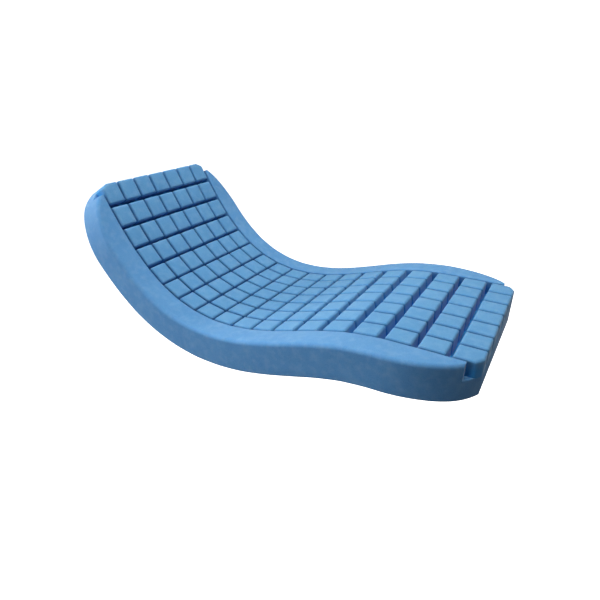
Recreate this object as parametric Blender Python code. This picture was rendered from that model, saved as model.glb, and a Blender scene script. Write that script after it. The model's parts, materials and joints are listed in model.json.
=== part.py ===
"""Pressure relief mattress: a castellated foam core with side bolsters, resting in a raised-back posture.

Metres, +Z up, +X towards the foot end, +Y towards the mattress's left-hand side when seen from the foot.
The core is one row of foam cells per transverse fold line, so it articulates as a chain of rigid rows.
Each row is drawn flat in its own frame and hangs from an empty on the fold axis that it turns about.
"""

import math

import bmesh
import bpy
from mathutils import Vector

# ---------------------------------------------------------------- driving dimensions
MATTRESS_LENGTH = 2.000
MATTRESS_WIDTH = 0.870
MATTRESS_THICKNESS = 0.140

ROW_COUNT = 18
COLUMN_COUNT = 7
SEAT_ROW = 9                    # the row that lies flat on the bed platform and carries the origin

SLOT_DEPTH = 0.060              # how far the cell slots are cut down from the lying surface
CROSS_SLOT_WIDTH = 0.0195       # transverse slots, the fold lines
LONG_SLOT_WIDTH = 0.008         # longitudinal slots, and the slot beside each bolster
BOLSTER_WIDTH = 0.107
CELL_EDGE_CHAMFER = 0.004
BOLSTER_EDGE_RADIUS = 0.028     # soft outer top edge
BOLSTER_FOOT_RADIUS = 0.010     # soft outer bottom edge
FOLD_AXIS_COVER = 0.015         # the foam's neutral layer, below the floor of the slots

TAPER_LENGTH = 0.300            # run over which the plan outline narrows towards each end
TAPER_DROP = 0.097              # narrowing of each side over that run
CORNER_DROP = 0.050             # further narrowing, nearly all of it at the corner itself
CORNER_SHARPNESS = 8
TIP_SETBACK = 0.047             # bolster tip to the end of the mattress
TIP_STEP = 0.002                # length over which the bolster drops to the base at its tip
WEDGE_TIP_WIDTH = 0.002         # where the base beside the end cells runs out
SLOPING_END_SHARE = 0.2         # share of an end row over which its leaning end face straightens up

OUTLINE_STEPS = 10              # facets of the outline along an end row
BOLSTER_STEPS = 4               # lengths that a tapering bolster segment is drawn in
WEDGE_STEPS = 3
TOP_EDGE_FACETS = 4
FOOT_EDGE_FACETS = 2
CUTTER_MARGIN = 0.010
LENGTH_TOLERANCE = 0.0001       # to which the wedge's run is solved

ROW_GAP = 0.0004                # clearance between neighbouring rows at the fold axis
SIDE_GAP = 0.0004               # clearance between a row and its bolster segments
ANGLE_CLEARANCE = 0.5           # degrees left open at the tightest fold

# Fold angle at each fold line in the resting posture, head to foot, in degrees. Positive folds upwards.
BACK_FOLDS = (3.0, 4.5, 6.5, 7.5, 10.5, 10.5, 9.5, 9.5)
THIGH_FOLDS = (7.0, 6.5, 3.5, 1.0)
KNEE_FOLDS = (-3.5, -7.5, -5.5, -0.5, -0.5)

# A soft edge narrows to these shares of the room it has, where the bolster is thin or low.
TOP_EDGE_WIDTH_SHARE = 0.8
TOP_EDGE_HEIGHT_SHARE = 0.3
FOOT_EDGE_WIDTH_SHARE = 0.4

# Furthest section angles that the fold lines have to allow, in degrees.
BACK_ANGLE_MOST = 70.0
THIGH_ANGLE_MOST = 28.0
KNEE_ANGLE_MOST = 30.0

# ---------------------------------------------------------------- derived dimensions
ROW_PITCH = (MATTRESS_LENGTH + CROSS_SLOT_WIDTH) / ROW_COUNT
CELL_LENGTH = ROW_PITCH - CROSS_SLOT_WIDTH
SLOT_FLOOR = MATTRESS_THICKNESS - SLOT_DEPTH
FOLD_AXIS_HEIGHT = SLOT_FLOOR - FOLD_AXIS_COVER
BOLSTER_INNER = MATTRESS_WIDTH / 2 - BOLSTER_WIDTH
SLAB_HALF_WIDTH = BOLSTER_INNER - SIDE_GAP
CELL_FIELD_HALF = BOLSTER_INNER - LONG_SLOT_WIDTH
COLUMN_PITCH = (2 * CELL_FIELD_HALF + LONG_SLOT_WIDTH) / COLUMN_COUNT
CELL_WIDTH = COLUMN_PITCH - LONG_SLOT_WIDTH
REST_FOLDS = BACK_FOLDS + THIGH_FOLDS + KNEE_FOLDS
TAPERED_ROWS = (1, 2, 3, ROW_COUNT - 2, ROW_COUNT - 1, ROW_COUNT)


def upward_limit(fold):
    """The largest upward angle, in degrees, that this fold line reaches; folds count from 1 at the head."""
    if fold <= len(BACK_FOLDS):
        return BACK_FOLDS[fold - 1] * BACK_ANGLE_MOST / sum(BACK_FOLDS)
    thigh = fold - len(BACK_FOLDS)
    if thigh <= len(THIGH_FOLDS):
        return THIGH_FOLDS[thigh - 1] * THIGH_ANGLE_MOST / sum(THIGH_FOLDS)
    return 0.0


def downward_limit(fold):
    knee = fold - len(BACK_FOLDS) - len(THIGH_FOLDS)
    if knee < 1:
        return 0.0
    return KNEE_FOLDS[knee - 1] * KNEE_ANGLE_MOST / sum(KNEE_FOLDS)


def half_gap(fold, height):
    """How far a row's end stands back from the fold plane at this height above the underside."""
    if height >= FOLD_AXIS_HEIGHT:
        angle = upward_limit(fold)
        arm = height - FOLD_AXIS_HEIGHT
    else:
        angle = downward_limit(fold)
        arm = FOLD_AXIS_HEIGHT - height
    return ROW_GAP / 2 + arm * math.tan(math.radians((angle + ANGLE_CLEARANCE) / 2))


def is_free_end(row, side):
    """Whether this end of a row is an end of the mattress; side is -1 at the head and +1 at the foot."""
    return (row, side) in ((1, -1), (ROW_COUNT, 1))


def end_x(row, side, height):
    """X of a row's end in its own frame."""
    if is_free_end(row, side):
        return side * CELL_LENGTH / 2
    fold = row - 1 if side < 0 else row
    return side * (ROW_PITCH / 2 - half_gap(fold, height))


def build_fold_axes():
    """An empty for each row, on the fold axis it turns about, parented to the row nearer the seat."""
    axes = {}
    for row in sorted(range(1, ROW_COUNT + 1), key=lambda number: abs(number - SEAT_ROW)):
        axis = bpy.data.objects.new(f"row_{row:02d}_axis", None)
        bpy.context.scene.collection.objects.link(axis)
        axes[row] = axis
        if row == SEAT_ROW:
            continue
        step = 1 if row > SEAT_ROW else -1
        fold = row - 1 if step > 0 else row
        inner = row - step
        axis.parent = axes[inner]
        if inner == SEAT_ROW:
            axis.location = (step * ROW_PITCH / 2, 0.0, FOLD_AXIS_HEIGHT)
        else:
            axis.location = (step * ROW_PITCH, 0.0, 0.0)
        # A fold upwards lifts the far side of the fold line, whichever end it is on.
        axis.rotation_euler = (0.0, -step * math.radians(REST_FOLDS[fold - 1]), 0.0)
    return axes


def hang_on_axis(made, row, axes):
    """Parents an object drawn in its row's frame to the row's axis; the seat row uses its own origin."""
    made.parent = axes[row]
    if row > SEAT_ROW:
        made.location = (ROW_PITCH / 2, 0.0, -FOLD_AXIS_HEIGHT)
    elif row < SEAT_ROW:
        made.location = (-ROW_PITCH / 2, 0.0, -FOLD_AXIS_HEIGHT)


def outer_half_width(x):
    """Half width of the plan outline at this distance from the mattress's middle, laid flat."""
    run = (abs(x) - (MATTRESS_LENGTH / 2 - TAPER_LENGTH)) / TAPER_LENGTH
    if run <= 0.0:
        return MATTRESS_WIDTH / 2
    return MATTRESS_WIDTH / 2 - TAPER_DROP * run**2 - CORNER_DROP * run**CORNER_SHARPNESS


def row_middle(row):
    return (row - (ROW_COUNT + 1) / 2) * ROW_PITCH


def clear_scene():
    for old in list(bpy.data.objects):
        bpy.data.objects.remove(old, do_unlink=True)


def foam_material(name, colour):
    material = bpy.data.materials.new(name)
    material.use_nodes = True
    shader = material.node_tree.nodes["Principled BSDF"]
    shader.inputs["Base Color"].default_value = (*colour, 1.0)
    shader.inputs["Roughness"].default_value = 0.92
    return material


def finish_object(name, mesh_builder, row, axes, material):
    """Turns a bmesh drawn in its row's frame into a named object on the row's fold axis."""
    bmesh.ops.recalc_face_normals(mesh_builder, faces=mesh_builder.faces)
    mesh = bpy.data.meshes.new(name)
    mesh_builder.to_mesh(mesh)
    mesh_builder.free()
    mesh.materials.append(material)
    made = bpy.data.objects.new(name, mesh)
    bpy.context.scene.collection.objects.link(made)
    hang_on_axis(made, row, axes)
    return made


def build_cell_row(row, axes, material):
    """A slab of base foam with its row of seven cells standing on it."""
    shape = bmesh.new()
    y_lines = [-SLAB_HALF_WIDTH]
    for column in range(COLUMN_COUNT):
        low = -CELL_FIELD_HALF + column * COLUMN_PITCH
        y_lines.extend((low, low + CELL_WIDTH))
    y_lines.append(SLAB_HALF_WIDTH)

    # A cell runs out to the free end in the first and last rows, where there is no slot to stand beside.
    x_lines = [end_x(row, -1, SLOT_FLOOR)]
    cell_step = 0
    if row > 1:
        x_lines.append(-CELL_LENGTH / 2)
        cell_step = 1
    if row < ROW_COUNT:
        x_lines.append(CELL_LENGTH / 2)
    x_lines.append(end_x(row, 1, SLOT_FLOOR))

    floor = [[shape.verts.new((x, y, SLOT_FLOOR)) for y in y_lines] for x in x_lines]
    last = len(y_lines) - 1
    foot = len(x_lines) - 1
    for i in range(foot):
        for j in range(last):
            is_cell = i == cell_step and j % 2 == 1
            ring = (floor[i][j], floor[i + 1][j], floor[i + 1][j + 1], floor[i][j + 1])
            if not is_cell:
                shape.faces.new(ring)
                continue
            add_cell(shape, ring)

    # End walls run down from the floor, with a bend at the fold axis unless the end is free.
    ends = []
    for side, line in ((-1, floor[0]), (1, floor[foot])):
        rungs = []
        for height in (0.0,) if is_free_end(row, side) else (FOLD_AXIS_HEIGHT, 0.0):
            x = end_x(row, side, height)
            rungs.append([shape.verts.new((x, y, height)) for y in (y_lines[0], y_lines[last])])
        shape.faces.new((*line, rungs[0][1], rungs[0][0]))
        for upper, lower in zip(rungs, rungs[1:]):
            shape.faces.new((*upper, lower[1], lower[0]))
        ends.append(rungs)
    head_rungs, foot_rungs = ends
    shape.faces.new((*head_rungs[-1], *reversed(foot_rungs[-1])))
    for hand, j in ((0, 0), (1, last)):
        wall = [line[j] for line in floor]
        wall.extend(rung[hand] for rung in foot_rungs)
        wall.extend(rung[hand] for rung in reversed(head_rungs))
        shape.faces.new(wall)
    made = finish_object(f"cell_row_{row:02d}", shape, row, axes, material)
    if row in (1, ROW_COUNT):
        trim_to_outline(made, row, axes)
    return made


def add_cell(shape, ring):
    """A chamfered block standing on the four floor corners given."""
    inset = CELL_EDGE_CHAMFER
    middle = sum((v.co for v in ring), Vector()) / 4
    shoulder = []
    crown = []
    for corner in ring:
        x, y, _ = corner.co
        shoulder.append(shape.verts.new((x, y, MATTRESS_THICKNESS - inset)))
        toward_x = inset if x < middle.x else -inset
        toward_y = inset if y < middle.y else -inset
        crown.append(shape.verts.new((x + toward_x, y + toward_y, MATTRESS_THICKNESS)))
    for a in range(4):
        b = (a + 1) % 4
        shape.faces.new((ring[a], ring[b], shoulder[b], shoulder[a]))
        shape.faces.new((shoulder[a], shoulder[b], crown[b], crown[a]))
    shape.faces.new(crown)


def trim_to_outline(made, row, axes):
    """Cuts an end row back to the plan outline, so that its corners are rounded."""
    side = -1 if row == 1 else 1
    half_pitch = ROW_PITCH / 2
    free_end = CELL_LENGTH / 2
    stations = [-half_pitch]
    for step in range(OUTLINE_STEPS + 1):
        stations.append(-free_end + 2 * free_end * step / OUTLINE_STEPS)
    edge = []
    for x in stations:
        half = outer_half_width(abs(row_middle(row)) + x)
        edge.append((side * x, half))
    # The cutter runs past the free end, so that only its sides cut.
    edge.append((side * (free_end + CUTTER_MARGIN), edge[-1][1]))
    loop = edge + [(x, -y) for x, y in reversed(edge)]
    shape = bmesh.new()
    floor = [shape.verts.new((x, y, -CUTTER_MARGIN)) for x, y in loop]
    roof = [shape.verts.new((x, y, MATTRESS_THICKNESS + CUTTER_MARGIN)) for x, y in loop]
    shape.faces.new(floor)
    shape.faces.new(roof)
    count = len(loop)
    for a in range(count):
        b = (a + 1) % count
        shape.faces.new((floor[a], floor[b], roof[b], roof[a]))
    cutter = finish_object(f"outline_cutter_{row:02d}", shape, row, axes, made.data.materials[0])
    cutter.hide_render = True
    cutter.display_type = "WIRE"
    trim = made.modifiers.new("outline", "BOOLEAN")
    trim.operation = "INTERSECT"
    trim.solver = "EXACT"
    trim.object = cutter


def bolster_section(half_width, top):
    """Corner points (y, z) of the bolster's cross-section, going round from the inner bottom edge."""
    room = half_width - BOLSTER_INNER
    top_radius = min(BOLSTER_EDGE_RADIUS, room * TOP_EDGE_WIDTH_SHARE)
    top_drop = min(BOLSTER_EDGE_RADIUS, (top - FOLD_AXIS_HEIGHT) * TOP_EDGE_HEIGHT_SHARE)
    foot_radius = min(BOLSTER_FOOT_RADIUS, room * FOOT_EDGE_WIDTH_SHARE)
    points = [(BOLSTER_INNER, 0.0)]
    for step in range(FOOT_EDGE_FACETS + 1):
        angle = math.pi / 2 * (step / FOOT_EDGE_FACETS - 1)
        points.append((
            half_width - foot_radius + foot_radius * math.cos(angle),
            foot_radius + foot_radius * math.sin(angle),
        ))
    points.append((half_width, FOLD_AXIS_HEIGHT))
    for step in range(TOP_EDGE_FACETS + 1):
        angle = math.pi / 2 * step / TOP_EDGE_FACETS
        points.append((
            half_width - top_radius + top_radius * math.cos(angle),
            top - top_drop + top_drop * math.sin(angle),
        ))
    points.append((BOLSTER_INNER, top))
    points.append((BOLSTER_INNER, FOLD_AXIS_HEIGHT))
    return points


def wedge_run():
    """Distance from the mattress's middle at which the outline has come in to the bolster's inner side."""
    near = MATTRESS_LENGTH / 2 - TAPER_LENGTH
    far = MATTRESS_LENGTH / 2
    while far - near > LENGTH_TOLERANCE:
        middle = (near + far) / 2
        if outer_half_width(middle) < BOLSTER_INNER + WEDGE_TIP_WIDTH:
            far = middle
        else:
            near = middle
    return near


def bolster_stations(row):
    """(share of the row, top height) of each cross-section of a bolster segment, from its inner end."""
    steps = range(BOLSTER_STEPS + 1)
    if row not in TAPERED_ROWS:
        return [(0.0, MATTRESS_THICKNESS), (1.0, MATTRESS_THICKNESS)]
    if row not in (1, ROW_COUNT):
        return [(step / BOLSTER_STEPS, MATTRESS_THICKNESS) for step in steps]
    inner_end = abs(row_middle(row)) - ROW_PITCH / 2
    tip = (MATTRESS_LENGTH / 2 - TIP_SETBACK - inner_end) / ROW_PITCH
    wedge_start = tip + TIP_STEP / ROW_PITCH
    wedge_end = (wedge_run() - inner_end) / ROW_PITCH
    stations = [(tip * step / BOLSTER_STEPS, MATTRESS_THICKNESS) for step in steps]
    # Beyond the tip only the base goes on, as a wedge beside the end cell.
    for step in range(WEDGE_STEPS + 1):
        share = wedge_start + (wedge_end - wedge_start) * step / WEDGE_STEPS
        stations.append((share, SLOT_FLOOR))
    return stations


def build_bolster(row, hand, axes, material):
    """One row's length of side bolster; hand is +1 on the +Y side."""
    away = -1 if row <= ROW_COUNT / 2 else 1
    shape = bmesh.new()
    rings = []
    for share, top in bolster_stations(row):
        ring = []
        flat_x = row_middle(row) + away * (share - 0.5) * ROW_PITCH
        for y, z in bolster_section(outer_half_width(flat_x), top):
            ring.append(shape.verts.new((bolster_x(row, away, share, z), hand * y, z)))
        rings.append(ring)
    count = len(rings[0])
    for near, far in zip(rings, rings[1:]):
        for a in range(count):
            b = (a + 1) % count
            shape.faces.new((near[a], near[b], far[b], far[a]))
    # The end walls bend at the fold axis, between its points on the outer and inner faces.
    outer = FOOT_EDGE_FACETS + 2
    inner = count - 1
    for ring in (rings[0], rings[-1]):
        shape.faces.new(ring[: outer + 1] + [ring[inner]])
        shape.faces.new(ring[outer:])
    name = "left_bolster" if hand > 0 else "right_bolster"
    return finish_object(f"{name}_{row:02d}", shape, row, axes, material)


def bolster_x(row, away, share, height):
    """X in the row's frame at a share of the way outwards; the row's ends lean as its fold lines need."""
    start = end_x(row, -away, height)
    if row in (1, ROW_COUNT):
        upright = away * (share - 0.5) * ROW_PITCH
        return start + (upright - start) * min(share / SLOPING_END_SHARE, 1.0)
    return start + share * (end_x(row, away, height) - start)


def main():
    clear_scene()
    cell_foam = foam_material("cell_foam", (0.25, 0.43, 0.72))
    bolster_foam = foam_material("bolster_foam", (0.22, 0.39, 0.66))
    axes = build_fold_axes()
    for row in range(1, ROW_COUNT + 1):
        build_cell_row(row, axes, cell_foam)
        build_bolster(row, 1, axes, bolster_foam)
        build_bolster(row, -1, axes, bolster_foam)


main()
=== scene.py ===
"""Looks of the castellated foam mattress: rounded cells on a continuous base with side bolsters."""

import json
import math
import random

import bpy
from mathutils import Matrix, Vector

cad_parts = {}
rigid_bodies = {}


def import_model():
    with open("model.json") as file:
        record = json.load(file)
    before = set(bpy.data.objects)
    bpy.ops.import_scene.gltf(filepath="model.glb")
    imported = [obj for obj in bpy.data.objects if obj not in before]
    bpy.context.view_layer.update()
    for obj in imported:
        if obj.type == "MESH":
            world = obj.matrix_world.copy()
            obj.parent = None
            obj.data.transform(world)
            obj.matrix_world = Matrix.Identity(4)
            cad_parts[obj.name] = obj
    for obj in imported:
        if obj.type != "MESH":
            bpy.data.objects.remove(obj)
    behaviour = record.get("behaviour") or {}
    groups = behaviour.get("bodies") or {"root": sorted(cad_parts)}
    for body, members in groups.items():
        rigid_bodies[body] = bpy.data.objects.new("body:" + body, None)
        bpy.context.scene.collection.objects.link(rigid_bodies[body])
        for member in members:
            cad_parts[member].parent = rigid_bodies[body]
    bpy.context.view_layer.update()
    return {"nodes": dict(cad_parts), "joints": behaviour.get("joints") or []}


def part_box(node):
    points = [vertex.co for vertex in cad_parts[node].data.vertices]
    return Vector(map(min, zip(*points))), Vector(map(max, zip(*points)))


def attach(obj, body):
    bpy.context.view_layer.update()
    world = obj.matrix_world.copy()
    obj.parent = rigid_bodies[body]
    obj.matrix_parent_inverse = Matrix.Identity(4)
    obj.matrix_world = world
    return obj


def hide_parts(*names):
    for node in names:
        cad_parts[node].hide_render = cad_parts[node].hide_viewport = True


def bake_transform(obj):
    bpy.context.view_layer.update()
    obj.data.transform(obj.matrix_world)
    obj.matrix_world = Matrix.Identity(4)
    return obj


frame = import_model()

# ---------------------------------------------------------------- sizes, in metres
ROW_COUNT = 18
COLUMN_COUNT = 7
CROSS_SLOT = 0.0195            # slots between rows of cells
LONG_SLOT = 0.008              # slots between columns, and beside each bolster
SLOT_DEPTH = 0.060
CELL_EDGE = 0.0090             # soft top edge of a cell
CELL_CORNER = 0.0060           # upright corners of a cell
CELL_CROWN = 0.0010            # how far a cell's middle stands above its edge
CELL_ROOT = 0.006              # how far a cell goes into the base, out of sight
BOLSTER_EDGE = 0.017           # soft outer top edge
BOLSTER_LIP = 0.006            # inner top edge, along the slot
BASE_EDGE = 0.009              # outer bottom edge
LOW_EDGE = 0.004               # top edge of the base beyond the bolsters' tips
TAPER_LENGTH = 0.300           # run over which the plan outline narrows towards each end
TAPER_DROP = 0.097
CORNER_DROP = 0.050            # further narrowing, nearly all of it at the corner itself
CORNER_SHARPNESS = 8
CORNER_RUN = 0.026             # part of an end cell's length that its cut corner takes
CORNER_SOFTNESS = 0.006
TIP_SETBACK = 0.047            # bolster tip to the end of the mattress
WALL_MARGIN = 0.012            # extra rings this far from the root and the shoulder of a cell's walls
THINNEST_ARM = 0.0004          # least radius of a corner arc, so that its points stay apart
FLOOR_SINK = 0.0002            # the base's floor lies this far under the CAD's, clear of it

# shares of a length
CROWN_RINGS = (0.86, 0.62, 0.34)
OUTSIDE_SHARE = 0.9            # points this far out along an end cell stand on the mattress's own end face
EDGE_SHARE = 0.72              # most of a narrow bolster's width that its outer edge takes
LIP_SHARE = 0.2                # most of a narrow bolster's width that its inner edge takes

# numbers of mesh steps
BEND_STEPS = 24
CORNER_STEPS = 5
SIDE_STEPS = 5
EDGE_STEPS = 5
FOOT_STEPS = 4
SIDE_POINTS = 5
SHOULDER_STEPS = 8
LIP_STEPS = 4
WALL_POINTS = 2
FOLD_STEPS = 12
TAPER_STEPS = 20
END_STEPS = 12
TAPERED_FOLDS = 4              # folds at each end whose lengths of base take the finer steps

# angles between faces, in degrees, from which an edge is drawn sharp
CELL_SHARP_ANGLE = 50.0
BASE_SHARP_ANGLE = 40.0
SWEEP_SHARP_ANGLE = 80.0

# small differences between cells, each drawn anew for every cell
CHANCE_SEED = 7
LEAN_X = 0.010                 # sideways run per unit of height
LEAN_Y = 0.006
TURN = 0.004                   # in radians
CROWN_SPREAD = (0.6, 1.3)
LENGTH_LOSS = 0.0005
WIDTH_LOSS = 0.0004

# ---------------------------------------------------------------- places, read from the frame
pivots = {}
for joint in frame["joints"]:
    rows = sorted(int(joint[key][-2:]) for key in ("parent", "child"))
    pivots[rows[0]] = Vector(joint["pos_m"])

SEAT_ROW = 9
seat_low, seat_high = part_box(f"cell_row_{SEAT_ROW:02d}")
THICKNESS = seat_high.z
AXIS_HEIGHT = pivots[SEAT_ROW].z
ROW_PITCH = (pivots[SEAT_ROW] - pivots[SEAT_ROW - 1]).length
HALF_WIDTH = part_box(f"left_bolster_{SEAT_ROW:02d}")[1].y
BOLSTER_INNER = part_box(f"left_bolster_{SEAT_ROW:02d}")[0].y
SLOT_FLOOR = THICKNESS - SLOT_DEPTH
CELL_LENGTH = ROW_PITCH - CROSS_SLOT
HALF_LENGTH = ROW_COUNT * ROW_PITCH / 2 - CROSS_SLOT / 2
CELL_FIELD = BOLSTER_INNER - LONG_SLOT
COLUMN_PITCH = (2 * CELL_FIELD + LONG_SLOT) / COLUMN_COUNT
CELL_WIDTH = COLUMN_PITCH - LONG_SLOT


def row_slope(row):
    """Angle of a row above the level, in radians, from its CAD underside."""
    mesh = frame["nodes"][f"cell_row_{row:02d}"].data
    underside = max(mesh.polygons, key=lambda face: face.area)
    up = -underside.normal
    return math.atan2(-up.x, up.z)


SLOPES = {row: row_slope(row) for row in range(1, ROW_COUNT + 1)}


def along(angle):
    return Vector((math.cos(angle), 0.0, math.sin(angle)))


def row_axis_point(row):
    """The point in the middle of a row, at the height of the fold axis."""
    if row < ROW_COUNT:
        return pivots[row] - along(SLOPES[row]) * ROW_PITCH / 2
    return pivots[row - 1] + along(SLOPES[row]) * ROW_PITCH / 2


def row_matrix(row):
    """World matrix of a row's own frame: origin mid-row on the underside, X to the foot, Z up."""
    slope = SLOPES[row]
    turn = Matrix.Rotation(-slope, 4, "Y")
    origin = row_axis_point(row) - turn.to_3x3() @ Vector((0.0, 0.0, AXIS_HEIGHT))
    return Matrix.Translation(origin) @ turn


def smooth(t):
    t = min(max(t, 0.0), 1.0)
    return t * t * (3.0 - 2.0 * t)


def fold_path(row, share):
    """Axis point and slope at a share of the way from the middle of this row to the middle of the next."""
    start, end = row_axis_point(row), row_axis_point(row + 1)
    first, turn = SLOPES[row], SLOPES[row + 1] - SLOPES[row]

    def reach(upto):
        total = Vector()
        for step in range(BEND_STEPS):
            middle = upto * (step + 0.5) / BEND_STEPS
            total += along(first + turn * smooth(middle)) * upto / BEND_STEPS
        return total

    scale = (end - start).length / reach(1.0).length
    return start + reach(share) * scale, first + turn * smooth(share)


def bent(x, y, z):
    """World point of a point given as if the mattress lay flat, X counted from its middle."""
    rows_along = x / ROW_PITCH + (ROW_COUNT + 1) / 2
    row = min(max(int(math.floor(rows_along)), 1), ROW_COUNT)
    share = rows_along - row
    if row == ROW_COUNT or rows_along < 1.0:
        slope = SLOPES[row]
        point = row_axis_point(row) + along(slope) * share * ROW_PITCH
    else:
        point, slope = fold_path(row, share)
    up = Vector((-math.sin(slope), 0.0, math.cos(slope)))
    return point + up * (z - AXIS_HEIGHT) + Vector((0.0, y, 0.0))


# ---------------------------------------------------------------- materials
# Each foam has its face colour, a shade that it drifts to, and a pale bloom.
CELL_COLOURS = ((0.108, 0.312, 0.585), (0.092, 0.283, 0.552), (0.156, 0.350, 0.600))
BASE_COLOURS = ((0.108, 0.305, 0.600), (0.092, 0.278, 0.567), (0.165, 0.350, 0.615))
# Painted shade: a deep blue laid over the foam down in the slots, standing in for the shade that falls
# there.
PAINTED_SLOT_SHADE = (0.012, 0.245, 0.640)
BLACK, WHITE = (0.0, 0.0, 0.0), (1.0, 1.0, 1.0)

# Noise scale and detail.
DRIFT_NOISE = (9.0, 3.0)
GRAIN_NOISE = (420.0, 4.0)
PATCH_NOISE = (34.0, 5.0)
MOTTLE_NOISE = (3.0, 2.0)

# Positions of a ramp's two ends.
DRIFT_ENDS = (0.30, 0.72)
GRAIN_ENDS = (0.36, 0.60)
PATCH_ENDS = (0.46, 0.74)
SLOT_SHADE_ENDS = (0.04, 0.60)
MOTTLE_ENDS = (0.0, 1.0)
PORE_SHADE = (0.80, 0.84, 0.90)
MOST_BLOOM = (0.5, 0.5, 0.5)
MOST_SLOT_SHADE = (0.75, 0.75, 0.75)

FOAM_SOCKETS = {
    "Roughness": 0.95,
    "Subsurface Weight": 0.25,
    "Subsurface Radius": (0.25, 0.6, 1.0),
    "Subsurface Scale": 0.012,
    "Specular IOR Level": 0.30,
    "Sheen Weight": 0.22,
    "Sheen Roughness": 0.40,
    "Sheen Tint": (1.0, 0.98, 0.94, 1.0),
}
GRAIN_BUMP = {"Strength": 0.35, "Distance": 0.0006}
SWEEP_SOCKETS = {
    "Roughness": 1.0,
    "Specular IOR Level": 0.0,
    "Emission Color": (1.0, 1.0, 1.0, 1.0),
    "Emission Strength": 1.1,
}


def new_material(name):
    """A material, with its nodes, links, shader and object coordinates."""
    material = bpy.data.materials.new(name)
    material.use_nodes = True
    nodes, links = material.node_tree.nodes, material.node_tree.links
    coords = nodes.new("ShaderNodeTexCoord").outputs["Object"]
    return material, nodes, links, nodes["Principled BSDF"], coords


def noise(nodes, links, coords, scale, detail):
    texture = nodes.new("ShaderNodeTexNoise")
    texture.inputs["Scale"].default_value = scale
    texture.inputs["Detail"].default_value = detail
    links.new(coords, texture.inputs["Vector"])
    return texture.outputs["Fac"]


def ramp(nodes, links, value, ends, low, high):
    """The colour that a value gives on the way from low to high, between the ramp's two ends."""
    made = nodes.new("ShaderNodeValToRGB")
    for element, position, colour in zip(made.color_ramp.elements, ends, (low, high)):
        element.position = position
        element.color = (*colour, 1.0)
    links.new(value, made.inputs["Fac"])
    return made.outputs["Color"]


def mix(nodes, links, factor, below):
    """A colour mix over the colour below, and its node; factor is a number or another node's output."""
    made = nodes.new("ShaderNodeMix")
    made.data_type = "RGBA"
    if isinstance(factor, float):
        made.inputs["Factor"].default_value = factor
    else:
        links.new(factor, made.inputs["Factor"])
    links.new(below, made.inputs["A"])
    return made, made.outputs["Result"]


def set_sockets(node, values):
    for socket, value in values.items():
        node.inputs[socket].default_value = value


def foam_material(name, face, shade, bloom):
    """Open-cell foam: fine pores over slow colour drift, a faint pale bloom, and painted shade that
    deepens the colour down in the slots.
    """
    material, nodes, links, shader, coords = new_material(name)
    drift = ramp(nodes, links, noise(nodes, links, coords, *DRIFT_NOISE), DRIFT_ENDS, shade, face)
    grain = noise(nodes, links, coords, *GRAIN_NOISE)
    pores, colour = mix(nodes, links, 1.0, drift)
    pores.blend_type = "MULTIPLY"
    links.new(ramp(nodes, links, grain, GRAIN_ENDS, PORE_SHADE, WHITE), pores.inputs["B"])

    patches = noise(nodes, links, coords, *PATCH_NOISE)
    share = ramp(nodes, links, patches, PATCH_ENDS, BLACK, MOST_BLOOM)
    bloomed, colour = mix(nodes, links, share, colour)
    bloomed.inputs["B"].default_value = (*bloom, 1.0)

    # Painted shade: the colour darkens towards the slot floors by how deep each point lies.
    depth = nodes.new("ShaderNodeAttribute")
    depth.attribute_name = "slot_depth"
    share = ramp(nodes, links, depth.outputs["Fac"], SLOT_SHADE_ENDS, BLACK, MOST_SLOT_SHADE)
    slot_shaded, colour = mix(nodes, links, share, colour)
    slot_shaded.inputs["B"].default_value = (*PAINTED_SLOT_SHADE, 1.0)
    links.new(colour, shader.inputs["Base Color"])

    bump = nodes.new("ShaderNodeBump")
    set_sockets(bump, GRAIN_BUMP)
    links.new(grain, bump.inputs["Height"])
    links.new(bump.outputs["Normal"], shader.inputs["Normal"])
    set_sockets(shader, FOAM_SOCKETS)
    return material


# ---------------------------------------------------------------- mesh helpers
def mesh_object(name, points, faces, material, sharp_degrees, depths=None):
    """A mesh piece; depths say how far down in a slot each point is, from 0 outside to 1 on its floor, and
    set how much painted slot shade it gets.
    """
    mesh = bpy.data.meshes.new(name)
    mesh.from_pydata([tuple(p) for p in points], [], faces)
    if depths:
        # The depths drive the painted slot shade in the foam material.
        mesh.attributes.new("slot_depth", "FLOAT", "POINT").data.foreach_set("value", depths)
    mesh.shade_smooth()
    mesh.set_sharp_from_angle(angle=math.radians(sharp_degrees))
    mesh.materials.append(material)
    made = bpy.data.objects.new(name, mesh)
    bpy.context.scene.collection.objects.link(made)
    return made


def rounded_outline(half_x, half_y, inset, cut=None):
    """Plan outline of a rounded rectangle, counter-clockwise; a cut corner gives its own points."""
    outline = []
    for corner, (sign_x, sign_y) in enumerate(((1, 1), (-1, 1), (-1, -1), (1, -1))):
        if cut and cut.corner == corner:
            outline.extend(cut.points(inset))
            continue
        centre = ((half_x - CELL_CORNER) * sign_x, (half_y - CELL_CORNER) * sign_y)
        arm = max(CELL_CORNER - inset, THINNEST_ARM)
        slide = max(inset - CELL_CORNER, 0.0)
        for step in range(CORNER_STEPS + 1):
            angle = math.radians(90 * (corner + step / CORNER_STEPS))
            outline.append((
                centre[0] - slide * sign_x + arm * math.cos(angle),
                centre[1] - slide * sign_y + arm * math.sin(angle),
            ))
    return with_side_points(outline)


def with_side_points(outline):
    """Adds points along the four straight sides, which follow each corner arc."""
    filled = []
    count = len(outline)
    for index, point in enumerate(outline):
        filled.append(point)
        if index % (CORNER_STEPS + 1) != CORNER_STEPS:
            continue
        ahead = outline[(index + 1) % count]
        for step in range(1, SIDE_STEPS):
            share = step / SIDE_STEPS
            filled.append(tuple(a + (b - a) * share for a, b in zip(point, ahead)))
    return filled


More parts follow.
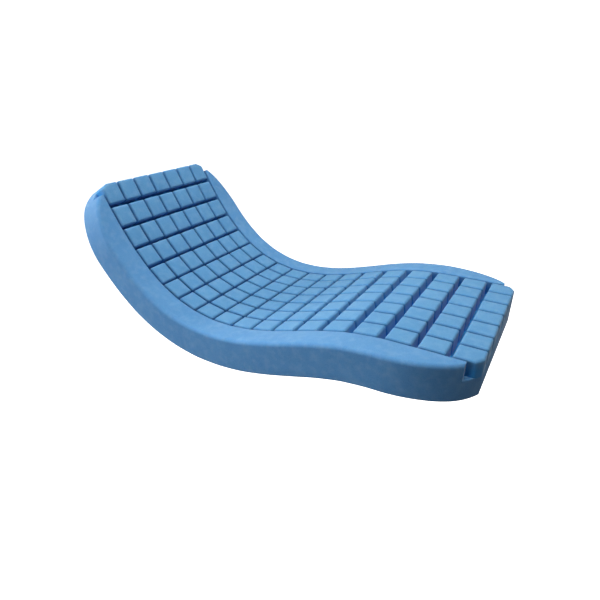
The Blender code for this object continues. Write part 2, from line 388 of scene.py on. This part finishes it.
def close_rings(rings):
    """Faces between equal rings of point numbers, closed at both ends."""
    faces = []
    count = len(rings[0])
    for near, far in zip(rings, rings[1:]):
        for a in range(count):
            b = (a + 1) % count
            faces.append((near[a], near[b], far[b], far[a]))
    faces.append(tuple(reversed(rings[0])))
    faces.append(tuple(rings[-1]))
    return faces


# ---------------------------------------------------------------- plan outline
def outer_half_width(x):
    """Half width of the plan outline at this distance from the mattress's middle, laid flat."""
    run = (abs(x) - (HALF_LENGTH - TAPER_LENGTH)) / TAPER_LENGTH
    if run <= 0.0:
        return HALF_WIDTH
    return HALF_WIDTH - TAPER_DROP * run**2 - CORNER_DROP * run**CORNER_SHARPNESS


def row_centre(row):
    return (row - (ROW_COUNT + 1) / 2) * ROW_PITCH


class CutCorner:
    """The corner of an end cell that follows the plan outline instead of a small round."""

    def __init__(self, row, column):
        self.side_x = 1 if row == ROW_COUNT else -1
        self.side_y = 1 if column > 0 else -1
        self.corner = {(1, 1): 0, (-1, 1): 1, (-1, -1): 2, (1, -1): 3}[self.side_x, self.side_y]
        self.middle = abs(row_centre(row))
        self.offset = CELL_FIELD - CELL_WIDTH / 2

    def points(self, inset):
        found = []
        for step in range(CORNER_STEPS + 1):
            x = HALF_LENGTH - CORNER_RUN * (1 - step / CORNER_STEPS)
            outline = outer_half_width(x)
            # A smooth minimum of the cell's own side and the plan outline.
            near = max(CORNER_SOFTNESS - abs(CELL_FIELD - outline), 0.0) / CORNER_SOFTNESS
            y = min(CELL_FIELD, outline) - near**2 * CORNER_SOFTNESS / 4
            found.append((
                self.side_x * (x - self.middle - inset),
                self.side_y * (y - self.offset - inset),
            ))
        # The other corners run counter-clockwise, so a corner that starts on its end face is turned round.
        if self.side_x == self.side_y:
            found.reverse()
        return found


# ---------------------------------------------------------------- cells
def cell_layers():
    """Inset and height of each level of a cell, from its hidden root up over the soft edge."""
    shoulder = THICKNESS - CELL_EDGE
    heights = (SLOT_FLOOR - CELL_ROOT, SLOT_FLOOR + WALL_MARGIN, shoulder - WALL_MARGIN)
    layers = [(0.0, height) for height in heights]
    for step in range(EDGE_STEPS + 1):
        angle = math.pi / 2 * step / EDGE_STEPS
        layers.append((CELL_EDGE * (1 - math.cos(angle)), shoulder + CELL_EDGE * math.sin(angle)))
    return layers


def add_cell(points, depths, faces, middle_y, half, open_side, cut, crown, lean, turn):
    """One rounded foam block, appended to a mesh under construction; open_side faces no slot."""
    rings = []
    for inset, height in cell_layers():
        ring = []
        for x, y in rounded_outline(*half, inset, cut):
            ring.append(len(points))
            points.append(cell_point(middle_y, x, y, height, lean, turn))
            # Depth for the painted slot shade; end faces that face no slot get none.
            on_outside = open_side * x > half[0] * OUTSIDE_SHARE
            depths.append(0.0 if on_outside else min((THICKNESS - height) / SLOT_DEPTH, 1.0))
        rings.append(ring)
    for share in CROWN_RINGS:
        ring = []
        for x, y in rounded_outline(*half, CELL_EDGE, cut):
            ring.append(len(points))
            height = THICKNESS + crown * (1.0 - share**2)
            points.append(cell_point(middle_y, x * share, y * share, height, lean, turn))
            depths.append(0.0)
        rings.append(ring)
    faces.extend(close_rings(rings))


def cell_point(middle_y, x, y, height, lean, turn):
    """Row-frame point of a cell, which leans and turns a trace about its own root."""
    up = max(height - SLOT_FLOOR, 0.0)
    return Vector((
        x * math.cos(turn) - y * math.sin(turn) + lean[0] * up,
        middle_y + x * math.sin(turn) + y * math.cos(turn) + lean[1] * up,
        height,
    ))


def build_cells(row, material, chance):
    """The seven cells that stand on one row, as one piece."""
    points, depths, faces = [], [], []
    open_side = {1: -1, ROW_COUNT: 1}.get(row, 0)
    for column in range(COLUMN_COUNT):
        middle_y = -CELL_FIELD + CELL_WIDTH / 2 + column * COLUMN_PITCH
        at_corner = row in (1, ROW_COUNT) and column in (0, COLUMN_COUNT - 1)
        cut = CutCorner(row, column) if at_corner else None
        lean = (chance.uniform(-LEAN_X, LEAN_X), chance.uniform(-LEAN_Y, LEAN_Y))
        turn = 0.0 if at_corner else chance.uniform(-TURN, TURN)
        crown = CELL_CROWN * chance.uniform(*CROWN_SPREAD)
        half = (
            CELL_LENGTH / 2 - chance.uniform(0.0, LENGTH_LOSS),
            CELL_WIDTH / 2 - chance.uniform(0.0, WIDTH_LOSS),
        )
        add_cell(points, depths, faces, middle_y, half, open_side, cut, crown, lean, turn)
    matrix = row_matrix(row)
    placed = [matrix @ point for point in points]
    piece = mesh_object(f"foam_cells_{row:02d}", placed, faces, material, CELL_SHARP_ANGLE, depths)
    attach(piece, f"row_{row:02d}")
    return piece


# ---------------------------------------------------------------- base and bolsters
def arc(centre, radii, first, last, steps):
    """Points round part of an ellipse, in the cross-section's (y, z), with angles in degrees."""
    points = []
    for step in range(steps + 1):
        angle = math.radians(first + (last - first) * step / steps)
        points.append((
            centre[0] + radii[0] * math.cos(angle),
            centre[1] + radii[1] * math.sin(angle),
        ))
    return points


def spread(start, end, count):
    """Evenly spaced points between two, leaving both out."""
    shares = [(step + 1) / (count + 1) for step in range(count)]
    return [tuple(a + (b - a) * share for a, b in zip(start, end)) for share in shares]


def half_section(x, low):
    """One side of the cross-section, (y, z) from mid-underside round to the middle of the slot floor."""
    half = outer_half_width(x)
    inner = min(BOLSTER_INNER, half - 3 * LOW_EDGE)
    floor = SLOT_FLOOR - FLOOR_SINK
    points = [(0.0, 0.0), (inner / 2, 0.0), (inner, 0.0)]
    foot = arc((half - BASE_EDGE, BASE_EDGE), (BASE_EDGE, BASE_EDGE), -90, 0, FOOT_STEPS)
    if low:
        centre = (half - LOW_EDGE, floor - LOW_EDGE)
        shoulder = arc(centre, (LOW_EDGE, LOW_EDGE), 0, 90, SHOULDER_STEPS)
        rest = spread(shoulder[-1], (inner, floor), LIP_STEPS + 1 + WALL_POINTS)
    else:
        room = half - inner
        edge = min(BOLSTER_EDGE, room * EDGE_SHARE)
        lip = min(BOLSTER_LIP, room * LIP_SHARE)
        centre = (half - edge, THICKNESS - BOLSTER_EDGE)
        shoulder = arc(centre, (edge, BOLSTER_EDGE), 0, 90, SHOULDER_STEPS)
        rest = arc((inner + lip, THICKNESS - BOLSTER_LIP), (lip, BOLSTER_LIP), 90, 180, LIP_STEPS)
        rest += spread(rest[-1], (inner, floor), WALL_POINTS)
    points += foot + spread(foot[-1], shoulder[0], SIDE_POINTS) + shoulder + rest
    return points + [(inner, floor), (inner / 2, floor), (0.0, floor)]


def section_depth(y, z, low):
    """How far down in a slot a point of the cross-section is, from 0 outside to 1 on its floor."""
    if low or abs(y) > BOLSTER_INNER + BOLSTER_LIP / 2 or z < SLOT_FLOOR - 2 * FLOOR_SINK:
        return 0.0
    return min((THICKNESS - z) / SLOT_DEPTH, 1.0)


def build_base(name, stations, low, material):
    """A length of continuous foam through cross-sections at these distances from the mattress's middle."""
    points, depths, rings = [], [], []
    for x in stations:
        side = half_section(x, low)
        whole = side + [(-y, z) for y, z in reversed(side[1:-1])]
        rings.append(list(range(len(points), len(points) + len(whole))))
        points.extend(bent(x, y, z) for y, z in whole)
        depths.extend(section_depth(y, z, low) for y, z in whole)
    piece = mesh_object(name, points, close_rings(rings), material, BASE_SHARP_ANGLE, depths)
    return piece


def build_fold_bases(material):
    """The continuous foam across each fold line, from mid-row to mid-row, curved to meet both rows as they
    lie.
    """
    tip = HALF_LENGTH - TIP_SETBACK
    for row in range(1, ROW_COUNT):
        tapered = abs(row - ROW_COUNT / 2) > ROW_COUNT / 2 - TAPERED_FOLDS
        steps = TAPER_STEPS if tapered else FOLD_STEPS
        # The first and the last length stop at the bolsters' tips.
        low, high = max(row_centre(row), -tip), min(row_centre(row + 1), tip)
        stations = [low + (high - low) * step / steps for step in range(steps + 1)]
        piece = build_base(f"foam_base_{row:02d}_{row + 1:02d}", stations, False, material)
        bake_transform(piece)
        yield piece


def build_end_base(row, material):
    """The low base beyond the bolsters' tips, which carries the rounded plan corners."""
    side = -1 if row == 1 else 1
    tip = HALF_LENGTH - TIP_SETBACK
    stations = []
    for step in range(END_STEPS + 1):
        share = math.sin(math.pi / 2 * step / END_STEPS)
        stations.append(side * (tip + (HALF_LENGTH - tip) * share))
    if side < 0:
        stations.reverse()
    piece = build_base(f"foam_base_end_{row:02d}", stations, True, material)
    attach(piece, f"row_{row:02d}")
    return piece


# ---------------------------------------------------------------- set, light and camera
SWEEP_PROFILE = (
    (0.0, 0.0), (7.0, 0.0), (9.0, 0.15), (10.2, 0.8), (10.8, 2.0), (11.0, 4.0),
    (10.5, 8.0), (8.5, 11.5), (5.0, 13.5), (0.2, 14.0),
)
SWEEP_SIDES = 64
FLOOR_HEIGHT = -0.9
SWEEP_SHADES = ((0.90, 0.90, 0.90), (0.94, 0.94, 0.94))


def build_stage():
    """A white floor that sweeps up into a white wall and dome all round, and lights nothing itself."""
    points, faces = [(0.0, 0.0, FLOOR_HEIGHT)], []
    for radius, rise in SWEEP_PROFILE[1:]:
        for step in range(SWEEP_SIDES):
            angle = 2 * math.pi * step / SWEEP_SIDES
            points.append((radius * math.cos(angle), radius * math.sin(angle), FLOOR_HEIGHT + rise))
    for step in range(SWEEP_SIDES):
        ahead = (step + 1) % SWEEP_SIDES
        faces.append((0, 1 + step, 1 + ahead))
        for ring in range(len(SWEEP_PROFILE) - 2):
            near, far = 1 + ring * SWEEP_SIDES, 1 + (ring + 1) * SWEEP_SIDES
            faces.append((near + step, far + step, far + ahead, near + ahead))
    sweep = mesh_object("studio_sweep", points, faces, sweep_material(), SWEEP_SHARP_ANGLE)
    sweep.visible_diffuse = False
    sweep.visible_glossy = False
    sweep.visible_shadow = False


def sweep_material():
    material, nodes, links, shader, coords = new_material("studio_sweep")
    mottle = noise(nodes, links, coords, *MOTTLE_NOISE)
    links.new(ramp(nodes, links, mottle, MOTTLE_ENDS, *SWEEP_SHADES), shader.inputs["Base Color"])
    set_sockets(shader, SWEEP_SOCKETS)
    return material


def add_area_light(name, place, target, size, power, colour):
    data = bpy.data.lights.new(name, "AREA")
    data.shape = "DISK"
    data.size = size
    data.energy = power
    data.color = colour
    light = bpy.data.objects.new(name, data)
    bpy.context.scene.collection.objects.link(light)
    light.location = place
    light.rotation_euler = (Vector(target) - Vector(place)).to_track_quat("-Z", "Y").to_euler()


AMBIENT = 0.10
WARM = (1.0, 0.95, 0.87)
# Each lamp's name, place, target, diameter, power in watts and colour.
LIGHTS = (
    ("key_head", (-0.7, -0.3, 3.2), (0.0, 0.0, 0.2), 2.2, 68.0, WARM),
    ("key_middle", (0.3, 0.3, 3.2), (0.2, 0.0, 0.1), 2.2, 36.0, WARM),
    ("key_foot", (1.3, 0.2, 3.0), (0.6, 0.0, 0.1), 2.0, 26.0, WARM),
    ("side_far", (-3.4, -2.2, 1.0), (0.0, -0.4, 0.2), 1.5, 84.0, WHITE),
    ("side_low", (-0.6, -3.2, 0.4), (0.0, -0.4, 0.1), 1.5, 26.0, WHITE),
    ("foot_fill", (3.0, 1.2, 0.1), (1.0, 0.0, 0.1), 1.2, 8.0, (1.0, 0.97, 0.93)),
)


def build_light():
    world = bpy.data.worlds.new("studio")
    bpy.context.scene.world = world
    world.use_nodes = True
    background = world.node_tree.nodes["Background"]
    set_sockets(background, {"Color": (*WHITE, 1.0), "Strength": AMBIENT})
    for light in LIGHTS:
        add_area_light(*light)
    bpy.context.scene.view_settings.view_transform = "Standard"


CAMERA_PLACE = Vector((1.148, -1.574, 1.083))
CAMERA_FORWARD = Vector((-0.4631, 0.7631, -0.4507))
CAMERA_LENS = 27.05
CAMERA_SENSOR = 36.0


def build_camera():
    data = bpy.data.cameras.new("camera")
    data.lens = CAMERA_LENS
    data.sensor_width = CAMERA_SENSOR
    camera = bpy.data.objects.new("camera", data)
    bpy.context.scene.collection.objects.link(camera)
    camera.location = CAMERA_PLACE
    camera.rotation_euler = CAMERA_FORWARD.to_track_quat("-Z", "Y").to_euler()
    bpy.context.scene.camera = camera


def main():
    chance = random.Random(CHANCE_SEED)
    cell_foam = foam_material("cell_foam_grain", *CELL_COLOURS)
    base_foam = foam_material("bolster_foam_grain", *BASE_COLOURS)
    for row in range(1, ROW_COUNT + 1):
        cells = build_cells(row, cell_foam, chance)
        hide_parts(f"cell_row_{row:02d}")
    for piece, row in zip(build_fold_bases(base_foam), range(1, ROW_COUNT)):
        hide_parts(f"left_bolster_{row:02d}", f"right_bolster_{row:02d}")
    build_end_base(1, base_foam)
    foot = build_end_base(ROW_COUNT, base_foam)
    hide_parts(f"left_bolster_{ROW_COUNT:02d}", f"right_bolster_{ROW_COUNT:02d}")
    build_stage()
    build_light()
    build_camera()


main()
